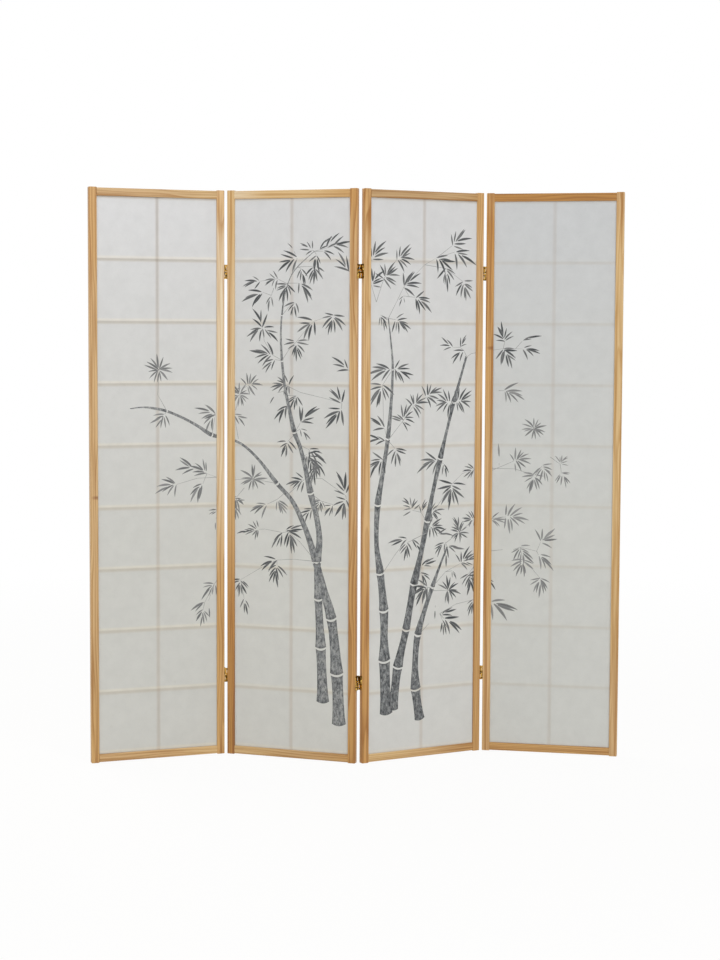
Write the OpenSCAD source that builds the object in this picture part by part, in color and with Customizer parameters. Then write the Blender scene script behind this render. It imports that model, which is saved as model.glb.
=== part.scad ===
// Four-panel folding screen: pine frames, a shoji lattice behind paper, two-way hinges.
// Every panel is drawn flat in its own frame: X across, Y from the front face back, Z up.

/* [Panel] */
// Width of one panel
panel_w = 435; // [300:1:600]
// Height of one panel
panel_h = 1790; // [1200:1:2100]
// Thickness of the frame
panel_t = 16; // [14:0.5:30]
// Fold between panels 1 and 2, from flat
fold_12_deg = 41; // [0:0.5:180]
// Fold between panels 2 and 3, from flat
fold_23_deg = 48.5; // [0:0.5:179]
// Fold between panels 3 and 4, from flat
fold_34_deg = 41; // [0:0.5:180]
// Turn of panel 1 about the vertical
first_turn_deg = 21.5; // [-45:0.5:45]

/* [Frame] */
// Face width of a stile
stile_w = 25; // [22:0.5:50]
// Face height of a rail
rail_h = 25; // [20:0.5:60]
// How far the stiles stand past the rails at top and bottom
horn = 2; // [0.5:0.5:10]
// Radius along the long edges of stiles and rails
edge_r = 1.5; // [0.5:0.25:3]
// Radius of the stile ends, seen from the front
end_r = 2.5; // [0.5:0.25:6]
// Length of a rail's tenon
tenon_l = 15; // [8:0.5:17]
// Thickness of a rail's tenon
tenon_t = 6; // [3:0.5:8]
// Height of a rail's tenon
tenon_h = 12; // [6:0.5:14]

/* [Lattice and paper] */
// Rows of cells
row_count = 9; // [3:1:12]
// Face width of a lattice bar
bar_w = 6; // [4:0.5:10]
// Depth of a lattice bar
bar_d = 7; // [4:0.5:8]
// Length of a lattice bar's end inside the frame
bar_in = 5; // [3:0.5:8]
// Setback of the paper from the front face
paper_back = 4; // [2.5:0.5:5]
// Thickness of the paper
paper_t = 0.4; // [0.3:0.1:1]
// Paper held inside the frame's groove
paper_in = 3.5; // [2:0.5:4]

/* [Hinges] */
// Height of a hinge
hinge_h = 44.6; // [40:0.2:80]
// Distance of a hinge's middle from the end of the stile
hinge_end = 254; // [120:1:400]
// Thickness of a hinge's sheet
leaf_t = 1.2; // [1:0.1:2]
// Diameter of a hinge pin
pin_d = 2.6; // [2:0.1:5]
// Distance of the pins outside the panel's faces
pin_out = 1; // [0.5:0.1:1.3]
// Length of a leaf's knuckle
knuckle_l = 6; // [4:0.2:7]
// Screws in one leaf
screw_count = 3; // [2:1:3]
// Diameter of a screw's shank
screw_d = 2.8; // [2:0.1:3.5]
// Diameter of a screw's head
head_d = 5.4; // [4.2:0.1:6]
// Length of a screw
screw_l = 14; // [8:0.5:18]

/* [Clearances] */
// Play round a tenon, a bar's end and the paper in their slots
slot_play = 0.1; // [0.05:0.05:0.3]
// Play between a pin and the link that turns on it
turn_play = 0.05; // [0.02:0.01:0.1]
// Play between a pin and the leaf's knuckle that holds it
hold_play = 0.01; // [0.005:0.005:0.02]
// Glue film between the paper and the lattice
glue_t = 0.05; // [0.02:0.01:0.2]
// Gap between a knuckle and the leaf across from it
swing_play = 0.25; // [0.2:0.05:1]
// Gap between knuckles along a pin
end_play = 0.2; // [0.1:0.05:0.5]
// Gap between the two halves of a hinge
half_gap = 0.6; // [0.3:0.1:2]

/* [Hidden] */
$fn = 48;

pine = "#C89F6C";
lattice_pine = "#E2CFAE";
paper_white = "#DAD9D3";
brass = "#B8933F";

panel_count = 4;
cut = 1;                                          // how far a cutting shape passes a surface

// Hinge sizes that follow from the sheet and the pin
pin_r = pin_d / 2;
knuckle_r = pin_r + turn_play + leaf_t;
panel_gap = 2 * (leaf_t + swing_play + knuckle_r);
half_h = (hinge_h - half_gap) / 2;
link_l = half_h - 2 * (knuckle_l + end_play);
leaf_side = knuckle_r - pin_out - leaf_t;         // setback of the sheet from the panel's faces
hinge_low = [panel_h - hinge_end - hinge_h / 2, hinge_end - hinge_h / 2];

// Frame and lattice sizes
opening_low = horn + rail_h;
opening_high = panel_h - opening_low;
inner_w = panel_w - 2 * stile_w;
groove = paper_in + slot_play;
tenon_z = (rail_h - groove - tenon_h) / 2;        // tenon's lower face above the rail's
bar_y = paper_back + paper_t + glue_t;
cell_h = (opening_high - opening_low - (row_count - 1) * bar_w) / row_count;
bar_z = [for (k = [1:row_count - 1]) opening_low + k * (cell_h + bar_w) - bar_w / 2];

// Turns of the panels and the chain of pins that places them
folds = [fold_12_deg, -fold_23_deg, fold_34_deg];
function turn(i) = i == 1 ? first_turn_deg : turn(i - 1) - folds[i - 2];
turns = [for (i = [1:panel_count]) turn(i)];
function turned(a, p) = [p[0] * cos(a) - p[1] * sin(a), p[0] * sin(a) + p[1] * cos(a)];
function pin_depth(i) = i % 2 == 1 ? -pin_out : panel_t + pin_out;
function chain(i) = i == 1 ? [0, 0]
  : chain(i - 1) + turned(turns[i - 2], [panel_w + panel_gap / 2, pin_depth(i - 1)])
  - turned(turns[i - 1], [-panel_gap / 2, pin_depth(i - 1)]);

// Circles that bound the plan: the rounded corners and the outer knuckles, as [x, y, radius]
corners = [for (i = [1:panel_count], x = [edge_r, panel_w - edge_r], y = [edge_r, panel_t - edge_r])
  concat(chain(i) + turned(turns[i - 1], [x, y]), edge_r)];
left_knuckles = [for (i = [1:panel_count - 1], y = [-pin_out, panel_t + pin_out])
  concat(chain(i) + turned(turns[i - 1], [panel_w + panel_gap / 2, y]), knuckle_r)];
right_knuckles = [for (i = [2:panel_count], y = [-pin_out, panel_t + pin_out])
  concat(chain(i) + turned(turns[i - 1], [-panel_gap / 2, y]), knuckle_r)];
bounds = concat(corners, left_knuckles, right_knuckles);
middle = [for (k = [0, 1])
  (min([for (c = bounds) c[k] - c[2]]) + max([for (c = bounds) c[k] + c[2]])) / 2];

module on_panel(i) {
  place = chain(i) - middle;
  translate([place[0], place[1], 0]) rotate([0, 0, turns[i - 1]]) children();
}

module rounded(w, h, r) {
  translate([r, 0]) square([w - 2 * r, h]);
  translate([0, r]) square([w, h - 2 * r]);
  for (x = [r, w - r], y = [r, h - r]) translate([x, y]) circle(r);
}

// Heights of the screws in one leaf
function screw_z(k) = hinge_h * (k + 0.5) / screw_count;

// A stile as the left one, with its outer edge face at X = 0
module stile_shape(hinged) {
  mid = (panel_t - tenon_t) / 2;
  difference() {
    intersection() {
      linear_extrude(panel_h) rounded(stile_w, panel_t, edge_r);
      translate([0, panel_t + cut, 0]) rotate([90, 0, 0])
        linear_extrude(panel_t + 2 * cut) rounded(stile_w, panel_h, end_r);
    }
    for (z = [horn + tenon_z, panel_h - horn - tenon_z - tenon_h])
      translate([stile_w - tenon_l - slot_play, mid - slot_play, z - slot_play])
        cube([tenon_l + slot_play + cut, tenon_t + 2 * slot_play, tenon_h + 2 * slot_play]);
    translate([stile_w - groove, paper_back - slot_play, opening_low - groove])
      cube([groove + cut, paper_t + 2 * slot_play, opening_high - opening_low + 2 * groove]);
    for (z = bar_z)
      translate([stile_w - bar_in - slot_play, bar_y, z - bar_w / 2 - slot_play])
        cube([bar_in + slot_play + cut, bar_d + slot_play, bar_w + 2 * slot_play]);
    if (hinged)
      for (h = hinge_low, k = [0:screw_count - 1])
        translate([-cut, panel_t / 2, h + screw_z(k)]) rotate([0, 90, 0])
          cylinder(r = screw_d / 2 + hold_play, h = screw_l - leaf_t + slot_play + cut);
  }
}

module stile_left(i) {
  color(pine) on_panel(i) stile_shape(i > 1);
}

module stile_right(i) {
  color(pine) on_panel(i) translate([panel_w, 0, 0]) mirror([1, 0, 0])
    stile_shape(i < panel_count);
}

// A rail as the bottom one, with its lower face at Z = 0 and tenons into both stiles
module rail_shape() {
  difference() {
    union() {
      translate([stile_w, 0, 0]) rotate([90, 0, 90])
        linear_extrude(inner_w) rounded(panel_t, rail_h, edge_r);
      translate([stile_w - tenon_l, (panel_t - tenon_t) / 2, tenon_z])
        cube([inner_w + 2 * tenon_l, tenon_t, tenon_h]);
    }
    translate([stile_w - cut, paper_back - slot_play, rail_h - groove])
      cube([inner_w + 2 * cut, paper_t + 2 * slot_play, groove + cut]);
    translate([(panel_w - bar_w) / 2 - slot_play, bar_y, rail_h - bar_in - slot_play])
      cube([bar_w + 2 * slot_play, bar_d + slot_play, bar_in + slot_play + cut]);
  }
}

module rail_bottom(i) {
  color(pine) on_panel(i) translate([0, 0, horn]) rail_shape();
}

module rail_top(i) {
  color(pine) on_panel(i) translate([0, 0, panel_h - horn]) mirror([0, 0, 1]) rail_shape();
}

// Horizontal bars, halved at the back where the post crosses
module lattice_bars(i) {
  color(lattice_pine) on_panel(i)
    for (z = bar_z) difference() {
      translate([stile_w - bar_in, bar_y, z - bar_w / 2])
        cube([inner_w + 2 * bar_in, bar_d, bar_w]);
      translate([(panel_w - bar_w) / 2 - slot_play, bar_y + bar_d / 2, z - bar_w / 2 - cut])
        cube([bar_w + 2 * slot_play, bar_d / 2 + cut, bar_w + 2 * cut]);
    }
}

// The middle post, halved at the front where the bars cross
module lattice_post(i) {
  color(lattice_pine) on_panel(i) difference() {
    translate([(panel_w - bar_w) / 2, bar_y, opening_low - bar_in])
      cube([bar_w, bar_d, opening_high - opening_low + 2 * bar_in]);
    for (z = bar_z)
      translate([(panel_w - bar_w) / 2 - cut, bar_y - cut, z - bar_w / 2 - slot_play])
        cube([bar_w + 2 * cut, bar_d / 2 + cut, bar_w + 2 * slot_play]);
  }
}

module paper(i) {
  color(paper_white) on_panel(i)
    translate([stile_w - paper_in, paper_back, opening_low - paper_in])
      cube([inner_w + 2 * paper_in, paper_t, opening_high - opening_low + 2 * paper_in]);
}

// The hinge frame: X = 0 on the left panel's edge face, Z = 0 at the hinge's lower end
module at_hinge(i, level) {
  on_panel(i) translate([panel_w, 0, hinge_low[level]]) children();
}

// The same hinge frame seen from the panel on the right, which has turned away from it
module at_hinge_right(i, level) {
  on_panel(i + 1) translate([-panel_gap, 0, hinge_low[level]]) children();
}

// A leaf as the left one: knuckles at the front below, at the back above
module leaf_shape() {
  arm = knuckle_r - pin_out;                       // inner face of a knuckle's arm
  difference() {
    union() {
      translate([0, leaf_side, 0]) cube([leaf_t, panel_t - 2 * leaf_side, hinge_h]);
      for (half = [0, 1], k = [0, 1]) {
        z = half * (half_h + half_gap) + k * (half_h - knuckle_l);
        y = half == 0 ? -pin_out : panel_t + pin_out;
        translate([panel_gap / 2, y, z]) cylinder(r = knuckle_r, h = knuckle_l);
        translate([0, half == 0 ? arm - leaf_t : panel_t - arm, z])
          cube([panel_gap / 2, leaf_t, knuckle_l]);
      }
    }
    for (half = [0, 1])
      translate([panel_gap / 2, half == 0 ? -pin_out : panel_t + pin_out,
                 half * (half_h + half_gap) - end_play])
        cylinder(r = pin_r + hold_play, h = half_h + 2 * end_play);
    for (k = [0:screw_count - 1]) translate([0, panel_t / 2, screw_z(k)]) rotate([0, 90, 0]) {
      translate([0, 0, -cut]) cylinder(r = screw_d / 2 + hold_play, h = leaf_t + 2 * cut);
      cylinder(r1 = screw_d / 2 + hold_play, h = leaf_t + cut,
               r2 = screw_d / 2 + hold_play + (head_d - screw_d) / 2 * (leaf_t + cut) / leaf_t);
    }
  }
}

// A link between a front pin and a back pin, with its plate in the middle of the gap
module link_shape() {
  start = knuckle_r - pin_out + swing_play;        // where the plate is clear of the leaves' knuckles
  z = knuckle_l + end_play;
  difference() {
    union() {
      for (y = [-pin_out, panel_t + pin_out])
        translate([panel_gap / 2, y, z]) cylinder(r = knuckle_r, h = link_l);
      translate([(panel_gap - leaf_t) / 2, -pin_out, z])
        cube([leaf_t, panel_t + 2 * pin_out, link_l]);
      translate([(panel_gap - leaf_t) / 2, start, 0])
        cube([leaf_t, panel_t - 2 * start, half_h]);
    }
    for (y = [-pin_out, panel_t + pin_out])
      translate([panel_gap / 2, y, -cut]) cylinder(r = pin_r + turn_play, h = half_h + 2 * cut);
  }
}

module other_way() {
  translate([panel_gap, panel_t, 0]) rotate([0, 0, 180]) children();
}

module hinge_left_leaf(i, level) {
  color(brass) at_hinge(i, level) leaf_shape();
}

module hinge_right_leaf(i, level) {
  color(brass) at_hinge_right(i, level) other_way() leaf_shape();
}

// At a fold on the front pins the upper link stays with the left panel, at one on the
// back pins with the right panel; the lower link does the opposite.
module hinge_upper_link(i, level) {
  raise = [0, 0, half_h + half_gap];
  color(brass) {
    if (i % 2 == 1) at_hinge(i, level) translate(raise) link_shape();
    else at_hinge_right(i, level) translate(raise) link_shape();
  }
}

module hinge_lower_link(i, level) {
  color(brass) {
    if (i % 2 == 1) at_hinge_right(i, level) link_shape();
    else at_hinge(i, level) link_shape();
  }
}

// The two pins that the left leaf holds: front below, back above
module pin_pair() {
  tip = pin_r / 5;
  for (half = [0, 1])
    translate([panel_gap / 2, half == 0 ? -pin_out : panel_t + pin_out,
               half * (half_h + half_gap)]) {
      cylinder(r1 = pin_r - tip, r2 = pin_r, h = tip);
      translate([0, 0, tip]) cylinder(r = pin_r, h = half_h - 2 * tip);
      translate([0, 0, half_h - tip]) cylinder(r1 = pin_r, r2 = pin_r - tip, h = tip);
    }
}

module hinge_pins(i) {
  color(brass) for (level = [0, 1]) {
    if (i < panel_count) at_hinge(i, level) pin_pair();
    if (i > 1) at_hinge_right(i - 1, level) other_way() pin_pair();
  }
}

// A countersunk wood screw, its head flush with Z = 0 and its shank along -Z
module screw() {
  tip = screw_d;
  slot_w = head_d / 8;
  slot_l = head_d * 0.55;
  difference() {
    union() {
      translate([0, 0, -leaf_t]) cylinder(r1 = screw_d / 2, r2 = head_d / 2, h = leaf_t);
      translate([0, 0, tip - screw_l]) cylinder(r = screw_d / 2, h = screw_l - tip - leaf_t);
      translate([0, 0, -screw_l]) cylinder(r1 = 0, r2 = screw_d / 2, h = tip);
    }
    for (a = [0, 90]) rotate([0, 0, a])
      translate([-slot_l / 2, -slot_w / 2, -leaf_t / 2]) cube([slot_l, slot_w, leaf_t]);
  }
}

module leaf_screws() {
  for (k = [0:screw_count - 1])
    translate([leaf_t, panel_t / 2, screw_z(k)]) rotate([0, 90, 0]) screw();
}

module hinge_screws(i) {
  color(brass) for (level = [0, 1]) {
    if (i < panel_count) at_hinge(i, level) leaf_screws();
    if (i > 1) at_hinge_right(i - 1, level) other_way() leaf_screws();
  }
}

for (i = [1:panel_count]) {
  stile_left(i);
  stile_right(i);
  rail_top(i);
  rail_bottom(i);
  lattice_bars(i);
  lattice_post(i);
  paper(i);
  hinge_pins(i);
  hinge_screws(i);
}
for (i = [1:panel_count - 1], level = [0, 1]) {
  hinge = str("hinge_", i, i + 1, level == 0 ? "_top_" : "_bottom_");
  hinge_left_leaf(i, level);
  hinge_right_leaf(i, level);
  hinge_upper_link(i, level);
  hinge_lower_link(i, level);
}
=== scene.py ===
import math
import random

import bmesh
import bpy
from mathutils import Matrix, Vector


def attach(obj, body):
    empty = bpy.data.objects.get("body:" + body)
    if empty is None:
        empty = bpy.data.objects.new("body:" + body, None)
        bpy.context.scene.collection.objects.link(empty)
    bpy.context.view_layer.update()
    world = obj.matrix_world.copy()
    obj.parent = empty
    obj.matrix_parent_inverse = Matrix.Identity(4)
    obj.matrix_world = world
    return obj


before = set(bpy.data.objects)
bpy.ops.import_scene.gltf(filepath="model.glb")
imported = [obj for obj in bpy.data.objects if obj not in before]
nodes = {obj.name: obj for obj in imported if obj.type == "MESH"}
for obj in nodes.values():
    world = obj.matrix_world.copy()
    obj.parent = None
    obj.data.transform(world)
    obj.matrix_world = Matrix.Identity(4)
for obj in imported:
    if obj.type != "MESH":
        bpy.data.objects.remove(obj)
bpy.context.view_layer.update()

print("screen loaded:", len(nodes), "pieces")

# sizes of the solids in metres: the paper goes into a groove and lies behind the frame's front face
panelCount = 4
frameSizes = {"panel": 0.435, "gap": 0.008, "stile": 0.025, "paperIn": 0.0035, "paperBack": 0.004}
pitch = frameSizes["panel"] + frameSizes["gap"]


def deselectAll():
    if bpy.context.object and bpy.context.object.mode != "OBJECT":
        bpy.ops.object.mode_set(mode="OBJECT")
    bpy.ops.object.select_all(action="DESELECT")


def pickOnly(obj):
    deselectAll()
    obj.select_set(True)
    bpy.context.view_layer.objects.active = obj


def joinAll(objs, name):
    deselectAll()
    for obj in objs:
        obj.select_set(True)
    bpy.context.view_layer.objects.active = objs[0]
    bpy.ops.object.join()
    joined = bpy.context.object
    joined.name = joined.data.name = name
    return joined


def selectVerts(obj, test):
    bpy.ops.mesh.select_mode(type="VERT")
    bpy.ops.mesh.select_all(action="DESELECT")
    mesh = bmesh.from_edit_mesh(obj.data)
    for v in mesh.verts:
        v.select = bool(test(v.co))
    mesh.select_flush(True)
    bmesh.update_edit_mesh(obj.data)


def addObject(name, data):
    obj = bpy.data.objects.new(name, data)
    bpy.context.scene.collection.objects.link(obj)
    return obj


# where each panel stands, read from its sheet of paper
def standsAt(i):
    points = sorted((v.co.x, v.co.y) for v in nodes[f"paper_{i}"].data.vertices)
    nearEnd = 0.002
    left = min((p for p in points if p[0] < points[0][0] + nearEnd), key=lambda p: p[1])
    right = min((p for p in points if p[0] > points[-1][0] - nearEnd), key=lambda p: p[1])
    turn = math.atan2(right[1] - left[1], right[0] - left[0])
    spin = Matrix.Rotation(turn, 4, "Z")
    inset = Vector((frameSizes["stile"] - frameSizes["paperIn"], frameSizes["paperBack"], 0))
    corner = Vector((left[0], left[1], 0)) - spin @ inset
    return turn, Matrix.Translation(corner) @ spin


stands = {i: standsAt(i) for i in range(1, panelCount + 1)}
for i, (turn, place) in stands.items():
    print("panel", i, "turn", round(math.degrees(turn), 2))


# node helpers
def hexColor(text):
    channels = [int(text[k:k + 2], 16) / 255 for k in (1, 3, 5)]
    return tuple(c / 12.92 if c <= 0.04045 else ((c + 0.055) / 1.055) ** 2.4 for c in channels) + (1.0,)


def grey(level):
    return (level, level, level, 1)


def addNode(tree, kind, inputs=None, **settings):
    node = tree.nodes.new(kind)
    for key, value in settings.items():
        setattr(node, key, value)
    for key, value in (inputs or {}).items():
        if isinstance(value, bpy.types.NodeSocket):
            tree.links.new(value, node.inputs[key])
        else:
            node.inputs[key].default_value = value
    return node


def newMaterial(name):
    material = bpy.data.materials.new(name)
    material.use_nodes = True
    material.node_tree.nodes.clear()
    return material, material.node_tree


def surfaced(material, tree, shader):
    addNode(tree, "ShaderNodeOutputMaterial", {"Surface": shader.outputs[0]})
    return material


def dress(obj, material):
    obj.data.materials.clear()
    obj.data.materials.append(material)


def calc(tree, operation, *values):
    return addNode(tree, "ShaderNodeMath", dict(enumerate(values)), operation=operation).outputs[0]


def calcVector(tree, operation, *values):
    node = addNode(tree, "ShaderNodeVectorMath", dict(enumerate(values)), operation=operation)
    return node.outputs["Value" if operation == "LENGTH" else "Vector"]


def mapped(tree, value, fromLow, fromHigh, toLow=0.0, toHigh=1.0):
    node = addNode(tree, "ShaderNodeMapRange", {
        "Value": value, "From Min": fromLow, "From Max": fromHigh, "To Min": toLow, "To Max": toHigh})
    return node.outputs[0]


def mixColors(tree, share, first, second, blend="MIX"):
    node = addNode(tree, "ShaderNodeMix", {0: share, 6: first, 7: second},
                   data_type="RGBA", blend_type=blend)
    return node.outputs[2]


def noise(tree, vector, scale, detail, **others):
    inputs = {"Vector": vector, "Scale": scale, "Detail": detail, **others}
    return addNode(tree, "ShaderNodeTexNoise", inputs).outputs[0]


def ramp(tree, value, stops, interpolation="LINEAR"):
    node = addNode(tree, "ShaderNodeValToRGB", {"Fac": value})
    node.color_ramp.interpolation = interpolation
    elements = node.color_ramp.elements
    while len(elements) > 1:
        elements.remove(elements[-1])
    elements[0].position, elements[0].color = stops[0]
    for position, color in stops[1:]:
        elements.new(position).color = color
    return node.outputs[0]


def splitAxes(tree, vector):
    return addNode(tree, "ShaderNodeSeparateXYZ", {"Vector": vector}).outputs


def stretched(tree, vector, scale):
    return addNode(tree, "ShaderNodeMapping", {"Vector": vector, "Scale": scale}).outputs[0]


def objectPlace(tree):
    return addNode(tree, "ShaderNodeTexCoord").outputs["Object"]


def panelPlace(tree, turn, corner):
    # places measured along the panel, from its lower left corner
    moved = Matrix.Rotation(-turn, 3, "Z") @ corner
    return addNode(tree, "ShaderNodeMapping", {
        "Vector": objectPlace(tree), "Rotation": (0, 0, -turn), "Location": -moved}).outputs[0]


# In the materials' dictionaries a tuple of four is a range of values and the range that it becomes.

# lacquered pine, planed: orange-brown latewood lines and long streaks in honey earlywood, fine pores,
# here and there a knot. Its rings are drawn about twice as coarse as real ones.
pine = {
    "ringMm": 5.6, "wobbleMm": 9.0, "wander": (16, 16, 1.6), "taper": 0.012, "longest": 1.79,
    "ringShades": [(0.0, 0.05), (0.45, 0.22), (0.8, 0.85), (0.9, 1), (1.0, 0.05)],
    "ringStrength": (0.3, 0.7, 0.35, 1.0), "streakMm": 9, "streakLongMm": 420,
    "streaks": (0.48, 0.66, 0.0, 0.7), "poreMm": 1.1, "poreStretch": 70, "pores": (0.2, 0.8),
    "poreShades": (0.92, 1.06), "roughness": (0.0, 1.0, 0.36, 0.5), "relief": 0.25, "reliefDeep": 0.00025,
    "knot": "#7E4418", "knotFlat": (0.5, 0.3, 1.2), "knotFade": (0.001, 0.0095, 0.75, 0.0),
}
# earlywood, latewood and resinous streaks, from the palest board to the reddest
pineTones = {
    "bleached": ("#EBDABC", "#CCA978", "#BE9260"), "oat": ("#E6CCA3", "#C49A60", "#B6864A"),
    "straw": ("#E1C18D", "#BE8E4C", "#AF7C38"), "tan": ("#DCB885", "#AD7B3E", "#A26C2B"),
    "amber": ("#D5AA6D", "#A36D2A", "#98601F"), "copper": ("#CD9C5A", "#9A6223", "#90581B"),
    "russet": ("#C38D46", "#935C20", "#885017"),
}


def pineBoard(name, turn, corner, alongRail, pith, tones, shade, knots):
    material, tree = newMaterial(name)
    axes = splitAxes(tree, panelPlace(tree, turn, corner))
    across, depth, length = ("Z", "Y", "X") if alongRail else ("X", "Y", "Z")
    board = addNode(tree, "ShaderNodeCombineXYZ", {
        "X": axes[across], "Y": axes[depth], "Z": axes[length]}).outputs[0]
    fromPith = calcVector(tree, "SUBTRACT", board, pith)
    # the stem is never quite straight, so the rings wander along the board
    wander = noise(tree, stretched(tree, fromPith, pine["wander"]), 1.0, 2.0)
    radius = calcVector(tree, "LENGTH", calcVector(tree, "MULTIPLY", fromPith, (1, 1, pine["taper"])))
    bent = calc(tree, "MULTIPLY_ADD", wander, 4 * pine["wobbleMm"] / 1000, radius)
    ring = calc(tree, "FRACT", calc(tree, "MULTIPLY", bent, 1000 / pine["ringMm"]))
    grain = ramp(tree, ring, [(at, grey(level)) for at, level in pine["ringShades"]])
    wide, long = 1000 / pine["streakMm"], 1000 / pine["streakLongMm"]
    broad = noise(tree, stretched(tree, fromPith, (wide, wide, long)), 1.0, 2.0)
    pores = 1000 / pine["poreMm"]
    fine = noise(tree, stretched(tree, board, (pores, pores, pores / pine["poreStretch"])), 1.0, 3.0)
    # how strongly the rings show changes every few hundred millimetres
    lines = calc(tree, "MULTIPLY", grain, mapped(tree, wander, *pine["ringStrength"]))
    # a board's tone changes along its length
    along = calc(tree, "MULTIPLY", axes[length], 1 / pine["longest"])
    layers = []
    for k in range(3):
        stops = [(at / pine["longest"], hexColor(pineTones[tone][k])) for at, tone in tones]
        layers.append(ramp(tree, along, stops, "EASE"))
    early, late, streak = layers
    wood = mixColors(tree, lines, early, late)
    streaked = mixColors(tree, mapped(tree, broad, *pine["streaks"]), wood, streak)
    fineShade = mapped(tree, fine, *pine["pores"], *(level * shade for level in pine["poreShades"]))
    color = addNode(tree, "ShaderNodeVectorMath", {0: streaked, "Scale": fineShade},
                    operation="SCALE").outputs[0]
    for knot in knots:
        away = calcVector(tree, "SUBTRACT", board, knot)
        reach = calcVector(tree, "LENGTH", calcVector(tree, "MULTIPLY", away, pine["knotFlat"]))
        color = mixColors(tree, mapped(tree, reach, *pine["knotFade"]), color, hexColor(pine["knot"]))
    bump = addNode(tree, "ShaderNodeBump", {
        "Height": calc(tree, "MULTIPLY_ADD", fine, 0.5, lines),
        "Strength": pine["relief"], "Distance": pine["reliefDeep"]})
    surface = addNode(tree, "ShaderNodeBsdfPrincipled", {
        "Base Color": color, "Roughness": mapped(tree, fine, *pine["roughness"]), "IOR": 1.5,
        "Coat Weight": 0.12, "Coat Roughness": 0.3, "Normal": bump.outputs[0]})
    return surfaced(material, tree, surface)


# where each board's pith lay, as seen from the board, its tones at so many metres up or along it,
# how light it is, and its knots
boards = {
    "stile_left_1": ((-0.030, 0.050, 0.2), [(0.0, "amber"), (0.5, "tan"), (1.35, "tan"), (1.65, "amber")],
                     0.95, [(0.020, 0.0, 0.833)]),
    "stile_right_1": ((0.455, 0.090, 0.5), [(0.5, "amber"), (1.05, "bleached"), (1.62, "bleached"),
                                            (1.74, "tan")], 1.0, []),
    "stile_left_2": ((0.110, 0.060, 0.9), [(0.4, "russet"), (1.0, "straw"), (1.28, "oat"), (1.42, "oat"),
                                           (1.7, "straw")], 0.98, []),
    "stile_right_2": ((0.400, -0.060, 1.3), [(0.4, "copper"), (1.0, "tan"), (1.57, "tan"),
                                             (1.77, "copper")], 1.0, []),
    "stile_left_3": ((0.030, 0.080, 0.6), [(0.36, "copper"), (0.95, "tan"), (1.1, "straw"), (1.3, "tan"),
                                           (1.5, "straw"), (1.62, "tan"), (1.75, "amber")], 1.02, []),
    "stile_right_3": ((0.360, 0.040, 0.1), [(0.4, "amber"), (0.8, "amber"), (1.18, "tan"), (1.57, "tan"),
                                            (1.75, "amber")], 0.98, []),
    "stile_left_4": ((-0.055, -0.030, 1.1), [(0.3, "tan"), (0.62, "amber"), (0.9, "tan"), (1.2, "amber"),
                                             (1.5, "copper"), (1.68, "russet"), (1.77, "amber")],
                     1.03, [(0.020, 0.0, 1.300)]),
    "stile_right_4": ((0.435, 0.060, 0.4), [(0.15, "tan"), (0.52, "straw"), (1.6, "straw"), (1.77, "tan")],
                      0.98, []),
    "rail_top_1": ((1.740, 0.060, 0.1), [(0.2, "tan"), (0.4, "straw")], 0.87, []),
    "rail_bottom_1": ((0.055, 0.040, 0.3), [(0.2, "tan"), (0.4, "straw")], 0.98, []),
    "rail_top_2": ((1.830, 0.020, 0.2), [(0.0, "bleached"), (0.15, "straw"), (0.25, "straw"),
                                         (0.42, "amber")], 0.98, []),
    "rail_bottom_2": ((-0.030, 0.050, 0.1), [(0.1, "straw"), (0.25, "tan"), (0.43, "amber")], 0.96, []),
    "rail_top_3": ((1.735, -0.040, 0.3), [(0.3, "tan"), (0.43, "amber")], 0.82, []),
    "rail_bottom_3": ((0.050, -0.040, 0.2), [(0.1, "straw"), (0.25, "tan"), (0.4, "amber")], 0.97, []),
    "rail_top_4": ((1.820, 0.050, 0.4), [(0.0, "russet")], 0.93, []),
    "rail_bottom_4": ((-0.040, 0.030, 0.3), [(0.0, "amber")], 1.0, []),
}
for nodeName, board in boards.items():
    turn, place = stands[int(nodeName[-1])]
    dress(nodes[nodeName], pineBoard(
        "lacqueredPine_" + nodeName, turn, place.translation, nodeName.startswith("rail"), *board))
print("pine boards:", len(boards))


# raw pine of the lattice, sawn thin: pale, matt, with a faint straight grain that is fine across the
# bars and long along them
latticePine = {"pale": "#E4CDA6", "line": "#CBA676", "roughness": 0.6, "across": 420, "along": 7,
               "grain": (0.35, 0.7, 0.0, 0.9)}


def latticeWood(name, turn, corner, upright):
    material, tree = newMaterial(name)
    across, along = latticePine["across"], latticePine["along"]
    stretch = (across, across, along) if upright else (along, across, across)
    grain = noise(tree, stretched(tree, panelPlace(tree, turn, corner), stretch), 1.0, 4.0)
    color = mixColors(tree, mapped(tree, grain, *latticePine["grain"]),
                      hexColor(latticePine["pale"]), hexColor(latticePine["line"]))
    bump = addNode(tree, "ShaderNodeBump", {"Height": grain, "Strength": 0.3, "Distance": 0.0002})
    surface = addNode(tree, "ShaderNodeBsdfPrincipled", {
        "Base Color": color, "Roughness": latticePine["roughness"], "Normal": bump.outputs[0]})
    return surfaced(material, tree, surface)


for i, (turn, place) in stands.items():
    dress(nodes[f"lattice_bars_{i}"], latticeWood(f"rawPineBars_{i}", turn, place.translation, False))
    dress(nodes[f"lattice_post_{i}"], latticeWood(f"rawPinePost_{i}", turn, place.translation, True))
print("lattice dressed")


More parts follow.
